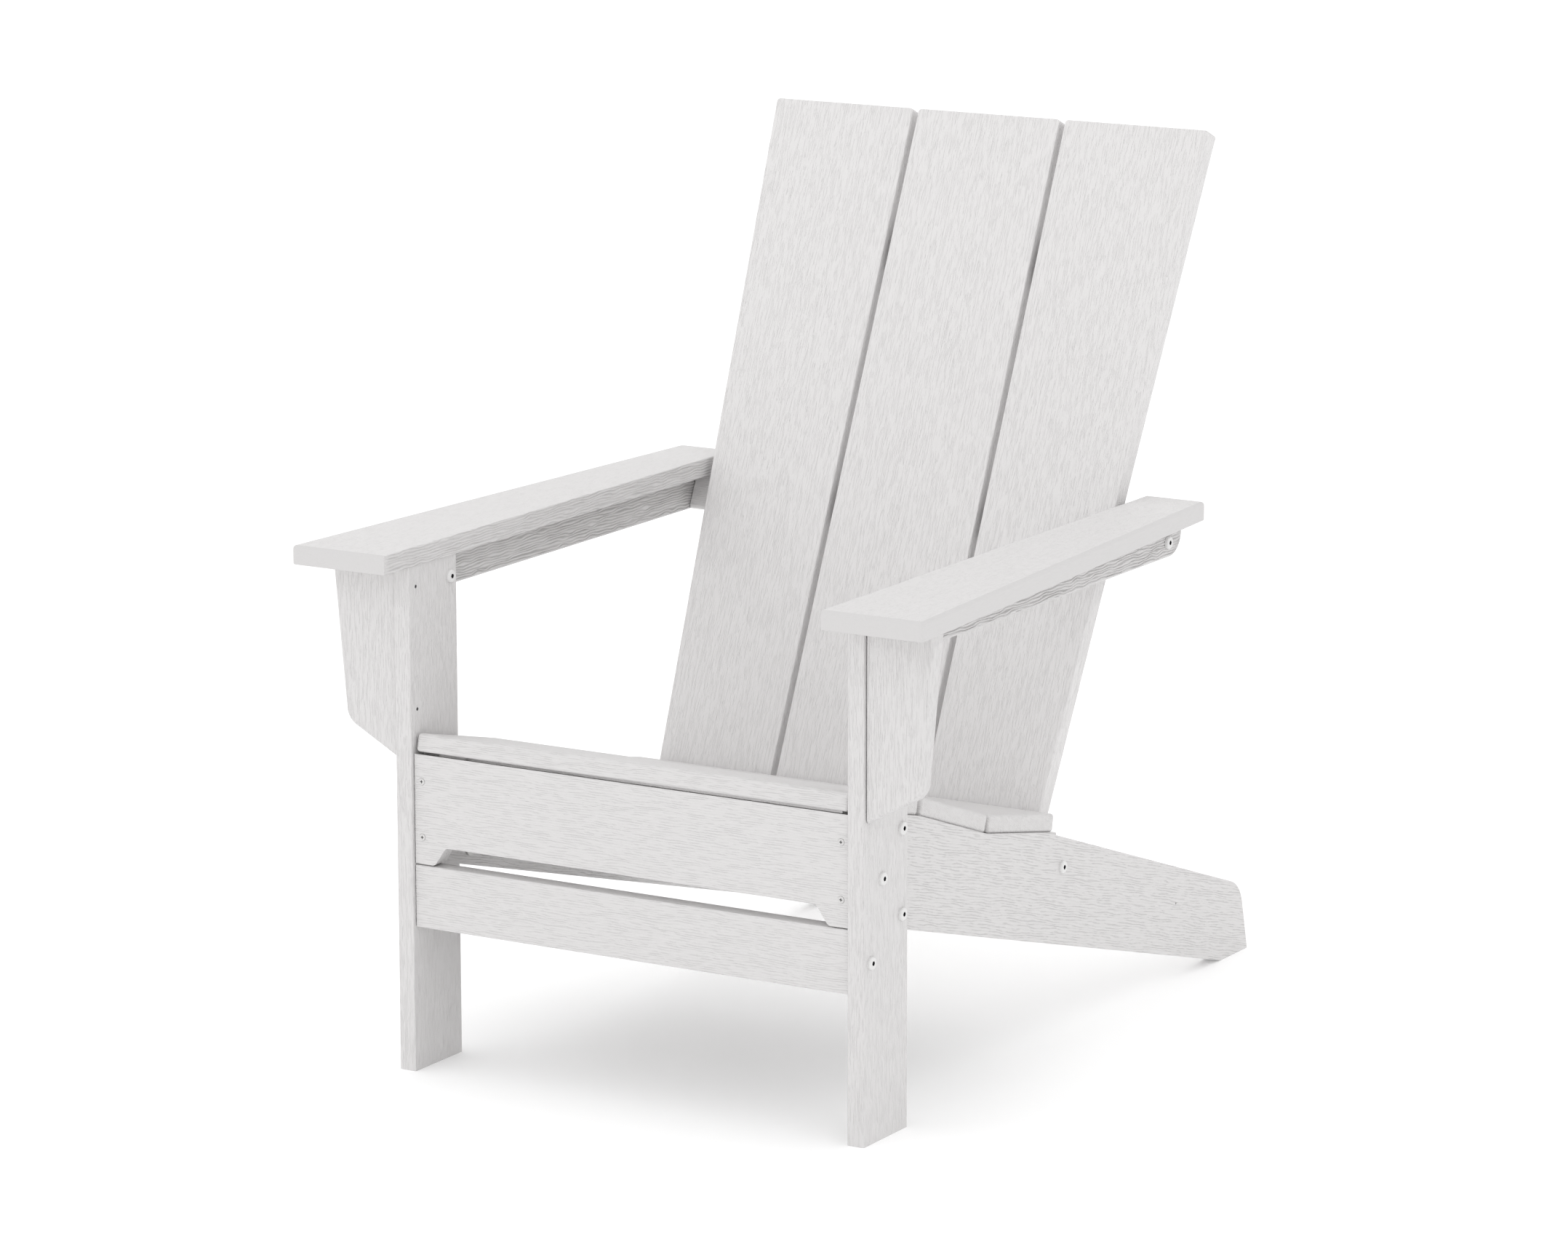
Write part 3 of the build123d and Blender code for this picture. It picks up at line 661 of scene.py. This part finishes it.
# ------------------------------------------------------------------- fasteners
# Rings inside a head's recess, which take the painted recess shade.
RECESS_RINGS = 2


class Drive(Enum):
    """The recess in a fastener's head."""

    HEX = "hex"
    CROSS = "cross"


@dataclass(frozen=True)
class Fastener:
    """A turned fastener: a crowned head with a recess, and its shank."""

    drive: Drive
    head_radius: float
    head_height: float
    shank_radius: float
    length: float
    recess: float
    recess_depth: float
    sides: int = 48

    def recess_radius(self, turn: np.ndarray) -> np.ndarray:
        """Distance from the axis to the recess wall in each direction.

        A hexagon's is apothem / cos(angle from the nearest flat's middle).  A cross is the
        nearer of an arm's end and its flank, with the arm's width a quarter of its length.
        """
        if self.drive is Drive.HEX:
            folded = (turn + math.pi / 6) % (math.pi / 3) - math.pi / 6
            return self.recess / 2 / np.cos(folded)
        folded = (turn + math.pi / 4) % (math.pi / 2) - math.pi / 4
        flank = self.recess / 8 / np.maximum(np.abs(np.sin(folded)), 1e-6)
        return np.minimum(self.recess / 2 / np.cos(folded), flank)

    def rows(self) -> tuple:
        """Rings from the recess floor out over the crown and down the shank.

        Returns:
            The directions, the radius of each ring in each of them, and the rings' heights.
        """
        turn = np.linspace(0, 2 * math.pi, self.sides, endpoint=False)
        recess = self.recess_radius(turn)
        round_off = np.linspace(0, math.pi / 2, 6)
        crown = self.head_height * 0.55
        flat = self.head_radius - crown
        top, floor = self.head_height, self.head_height - self.recess_depth
        rim = np.full_like(turn, max(flat * 0.96, recess.max() * 1.02))
        radii = [recess * 0.02, recess * 0.92, recess, rim]
        heights = [floor, floor, top - 0.0001, top]
        for angle in round_off:
            radii.append(np.full_like(turn, flat + crown * math.sin(angle)))
            heights.append(top - crown + crown * math.cos(angle))
        for radius, height in ((self.head_radius, 0.0), (self.shank_radius, 0.0)):
            radii.append(np.full_like(turn, radius))
            heights.append(height)
        radii.append(np.full_like(turn, self.shank_radius))
        heights.append(-self.length)
        return turn, np.array(radii), np.array(heights)

    def points(self, at: np.ndarray, out: np.ndarray) -> np.ndarray:
        """The rings placed with the head's seat at a point and its crown facing out."""
        turn, radii, heights = self.rows()
        first = np.cross(out, [0.0, 0.0, 1.0])
        first /= np.linalg.norm(first)
        second = np.cross(out, first)
        around = np.cos(turn)[None, :, None] * second + np.sin(turn)[None, :, None] * first
        return at + radii[..., None] * around + heights[:, None, None] * out


@dataclass
class FastenerSet:
    """Alike fasteners that share one frame node."""

    node: str
    fastener: Fastener
    places: list
    coat: bpy.types.Material
    dark: bpy.types.Material
    slot: str

    def build(self) -> None:
        """Builds all the fasteners as one piece in place of the frame's node."""
        points, faces, slots, start = [], [], [], 0
        for at, out in self.places:
            grid = self.fastener.points(np.array(at), np.array(out))
            rows, columns = grid.shape[:2]
            made = np.array(loop_faces(rows, columns)) + start
            faces += made.tolist()
            faces.append((np.arange(columns)[::-1] + start).tolist())
            faces.append((np.arange((rows - 1) * columns, rows * columns) + start).tolist())
            # The recess rings and the recess floor's cap take the painted shade; the other rings and the
            # shank's end take the coat.
            row_slots = np.where(np.arange(rows - 1) < RECESS_RINGS, 1, 0)
            slots += np.repeat(row_slots, columns).tolist() + [1, 0]
            points.append(grid.reshape(-1, 3))
            start += rows * columns
        mesh = bpy.data.meshes.new(self.node + "_set")
        mesh.from_pydata(np.concatenate(points).tolist(), [], faces)
        mesh.materials.append(self.coat)
        mesh.materials.append(self.dark)
        mesh.polygons.foreach_set("material_index", np.array(slots, np.int32))
        piece = finish_piece(self.node + "_set", mesh, 35.0)
        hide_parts(self.node)


@dataclass
class Fasteners:
    """Bolts and screws on the legs, rails, stringers and apron."""

    bolt_rows: tuple = ((0.0765, 0.3185), (0.0365, 0.2745), (0.0765, 0.2285))
    screw_heights: tuple = (0.2556, 0.3156)
    head_height: float = 0.0034

    def build(self) -> None:
        """Builds every set of fasteners that shows."""
        coat = Coating("white_coated_steel", (0.76, 0.755, 0.75), 0.0, 0.32).make()
        # Painted shade: the inside of each hex socket and cross recess is coloured near black, as shade
        # falls there.
        dark = Coating("painted_recess_shade", (0.012, 0.012, 0.014), 0.0, 0.6).make()
        pale = Coating("pale_screw_head", (0.66, 0.65, 0.645), 0.0, 0.4).make()
        bolt = Fastener(Drive.HEX, 0.007, self.head_height, 0.0032, 0.035, 0.0046, 0.0024)
        leg_low, leg_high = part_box("right_front_leg")
        outer, inner, front = leg_high.x, leg_low.x, leg_low.y
        sides = list(SIDES.values())
        stringer = [((s * outer, front + r, z), (s, 0.0, 0.0)) for s in sides for r, z in self.bolt_rows]
        stretcher_low, stretcher_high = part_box("front_stretcher")
        middle = (stretcher_low + stretcher_high) / 2
        stretcher = [((s * outer, middle.y, middle.z), (s, 0.0, 0.0)) for s in sides]
        sets = [("stringer_bolts", stringer), ("stretcher_bolts", stretcher)]
        for node in ("arm_rail_bolts", "back_rail_bolts", "crossbeam_bolts"):
            low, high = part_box(node)
            y, z = (low.y + high.y) / 2, (low.z + high.z) / 2
            facing = -1.0 if node == "arm_rail_bolts" else 1.0
            seat = inner if facing < 0 else high.x - self.head_height
            sets.append((node, [((s * seat, y, z), (s * facing, 0.0, 0.0)) for s in sides]))
        for node, places in sets:
            FastenerSet(node, bolt, places, coat, dark, "bolt").build()
        screw = Fastener(Drive.CROSS, 0.0037, 0.0006, 0.002, 0.04, 0.0034, 0.0005, 96)
        apron_low, apron_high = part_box("front_apron")
        stringer_low, stringer_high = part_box("right_stringer")
        x = (stringer_low.x + stringer_high.x) / 2
        apron = [((s * x, apron_low.y, z), (0.0, -1.0, 0.0)) for s in sides for z in self.screw_heights]
        FastenerSet("apron_screws", screw, apron, pale, dark, "screw").build()


# ---------------------------------------------------------------------- boards
@dataclass
class FrameBoards:
    """Boards that keep the frame's shapes and get their grain here."""

    back_lean: float = math.radians(24.0)
    stringer_slope: float = math.radians(15.6)
    # Painted light: the back boards' colour is raised, standing in for more light than reaches them under
    # the seat and arms.
    back_painted_light_gain: float = 1.07

    def finishes(self) -> dict:
        """Each board's grain and how it lies."""
        upright, across = ALONG_Z, ALONG_X
        lean = tilted(math.pi / 2 - self.back_lean)
        slope = tilted(-self.stringer_slope)
        made = {}
        for side in SIDES:
            made[side + "_front_leg"] = (Grain.COMBED, upright)
            made[side + "_arm_bracket"] = (Grain.COMBED, upright)
            made[side + "_stringer"] = (Grain.GROOVED, slope)
            made[side + "_back_board"] = (Grain.COMBED, lean)
        made["middle_back_board"] = (Grain.COMBED, lean)
        for node in ("front_apron", "front_stretcher", "seat_slat_front", "seat_slat_middle"):
            made[node] = (Grain.STREAKED, across)
        for node in ("seat_slat_rear", "upper_back_batten", "lower_back_rail", "rear_crossbeam"):
            made[node] = (Grain.STREAKED, across)
        return made

    def build(self) -> None:
        """Dresses every board that stays."""
        for number, (node, (grain, lay)) in enumerate(self.finishes().items()):
            # Only the back boards take the painted light gain.
            painted_light_gain = self.back_painted_light_gain if "back_board" in node else 1.0
            dress(node, Lumber("lumber_" + node, grain, lay, 11.0 + number, painted_light_gain).make())


def dress(node: str, material: bpy.types.Material) -> None:
    """Gives a frame node a better material in every slot."""
    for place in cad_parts[node].material_slots:
        place.material = material


# ---------------------------------------------------------------------- studio
@dataclass
class Studio:
    """Floor, lights and camera."""

    floor_size: float = 60.0
    camera_at: tuple = (3.3796, -5.3241, 1.8685)
    looks_at: tuple = (0.0865, 0.1739, 0.4868)
    roll: float = math.radians(-0.073)
    lens: float = 145.07
    sky: float = 1.09
    floor_glow: float = 0.13

    def floor(self) -> None:
        """A pale floor, level with the chair's feet."""
        half = self.floor_size / 2
        corners = [(-half, -half, 0.0), (half, -half, 0.0), (half, half, 0.0), (-half, half, 0.0)]
        mesh = bpy.data.meshes.new("studio_floor")
        mesh.from_pydata(corners, [], [(0, 1, 2, 3)])
        made = bpy.data.objects.new("studio_floor", mesh)
        bpy.context.scene.collection.objects.link(made)
        tree = Nodes("pale_floor")
        tree.shader.inputs["Base Color"].default_value = (0.96, 0.96, 0.96, 1.0)
        tree.shader.inputs["Emission Color"].default_value = (1.0, 1.0, 1.0, 1.0)
        tree.shader.inputs["Emission Strength"].default_value = self.floor_glow
        tree.shader.inputs["Roughness"].default_value = 0.9
        tree.shader.inputs["Specular IOR Level"].default_value = 0.0
        mesh.materials.append(tree.material)

    def surround(self) -> None:
        """An even white surround."""
        world = bpy.data.worlds.new("studio_surround")
        world.use_nodes = True
        background = world.node_tree.nodes["Background"]
        background.inputs["Color"].default_value = (1.0, 1.0, 1.0, 1.0)
        background.inputs["Strength"].default_value = self.sky
        bpy.context.scene.world = world

    def lamp(self, name: str, where: tuple, size: float, power: float) -> None:
        """A square soft light at where, facing the seat."""
        data = bpy.data.lights.new(name, "AREA")
        data.shape, data.size, data.energy = "SQUARE", size, power
        lamp = bpy.data.objects.new(name, data)
        lamp.location = where
        aim = Vector((0.0, 0.0, 0.4)) - Vector(where)
        lamp.rotation_mode = "QUATERNION"
        lamp.rotation_quaternion = aim.to_track_quat("-Z", "Y")
        bpy.context.scene.collection.objects.link(lamp)

    def camera(self) -> None:
        """The camera, placed from the front legs' face, level apart from a slight roll."""
        face = Vector((0.0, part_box("left_front_leg")[0].y, 0.0))
        stand, aim_at = face + Vector(self.camera_at), face + Vector(self.looks_at)
        data = bpy.data.cameras.new("studio_camera")
        data.sensor_fit, data.sensor_width, data.lens = "HORIZONTAL", 36.0, self.lens
        camera = bpy.data.objects.new("studio_camera", data)
        aim = (aim_at - stand).to_track_quat("-Z", "Y")
        turn = aim.to_matrix().to_4x4() @ Matrix.Rotation(self.roll, 4, "Z")
        camera.matrix_world = Matrix.Translation(stand) @ turn
        bpy.context.scene.collection.objects.link(camera)
        bpy.context.scene.camera = camera

    def build(self) -> None:
        """Sets up the whole studio."""
        self.floor()
        self.surround()
        self.lamp("overhead_softbox", (-0.4, -0.6, 3.6), 2.4, 5.0)
        self.lamp("front_softbox", (-2.4, -3.6, 2.4), 2.2, 5.0)
        self.camera()
        bpy.context.scene.view_settings.view_transform = "Standard"


def dress_hidden() -> None:
    """Finishes the screws and nuts that keep the frame's shapes."""
    steel = Coating("zinc_steel", (0.62, 0.62, 0.61), 1.0, 0.32).make()
    dark = Coating("dark_screw", (0.16, 0.16, 0.165), 0.3, 0.5).make()
    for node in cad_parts:
        if "nuts" in node:
            dress(node, steel)
        elif node in ("bracket_screws", "seat_slat_screws", "arm_screws", "back_board_screws"):
            dress(node, dark)


def main() -> None:
    """Builds the studio, the new pieces and the finishes."""
    logging.basicConfig(level=logging.INFO)
    Studio().build()
    FrameBoards().build()
    Arms().build()
    ArmRails().build()
    Fasteners().build()
    dress_hidden()


if __name__ == "__main__":
    main()
